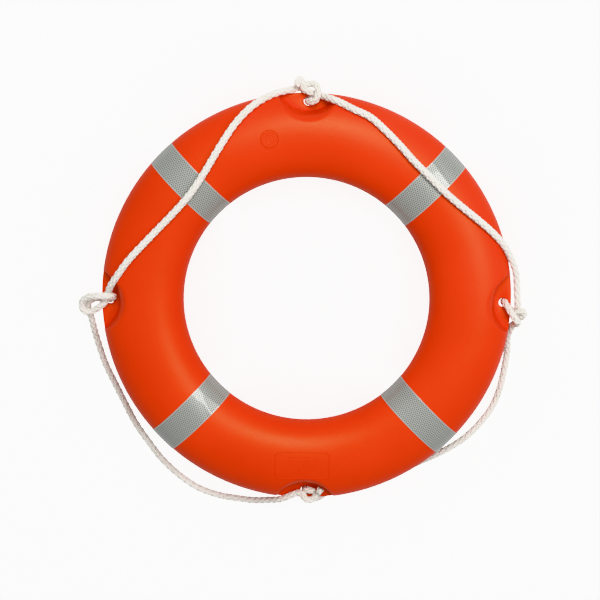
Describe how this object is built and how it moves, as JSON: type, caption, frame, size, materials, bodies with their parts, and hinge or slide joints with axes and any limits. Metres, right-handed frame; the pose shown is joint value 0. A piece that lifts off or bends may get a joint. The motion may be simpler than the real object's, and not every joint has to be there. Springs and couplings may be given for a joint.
{
  "type": "ring lifebuoy",
  "caption": "Foam-filled plastic ring lifebuoy with reflective tape bands and a braided grab line tied to webs in its outer rim.",
  "frame": {"origin": "on the ring's axis, at the level of the surface the lifebuoy lies on, which is the underside of its tapes", "axes": "+Z along the ring's axis, out of the face that carries the filler plug; +Y towards the web with the top knot; +X towards the web on the right when looking down at that face"},
  "size_m": [0.815, 0.7989, 0.118],
  "materials": {
    "shell_plastic": "satin moulded polyethylene, signal orange",
    "foam": "closed-cell polyurethane foam, cream",
    "plug_plastic": "satin moulded polyethylene, signal orange",
    "reflective_tape": "retroreflective sheeting, silver grey honeycomb under a clear glossy film",
    "rope": "braided polypropylene rope, off-white, satin"
  },
  "bodies": {
    "root": {"shell": "shell_plastic", "foam_core": "foam", "filler_plug": "plug_plastic", "tape_upper_right": "reflective_tape", "tape_upper_left": "reflective_tape", "tape_lower_left": "reflective_tape", "tape_lower_right": "reflective_tape", "grab_line_upper_left": "rope", "grab_line_upper_right": "rope", "grab_line_lower_left": "rope", "grab_line_lower_right": "rope", "knot_top": "rope", "knot_left": "rope", "knot_bottom": "rope", "knot_right": "rope", "rope_end_top": "rope", "rope_end_bottom": "rope"}
  },
  "joints": []
}
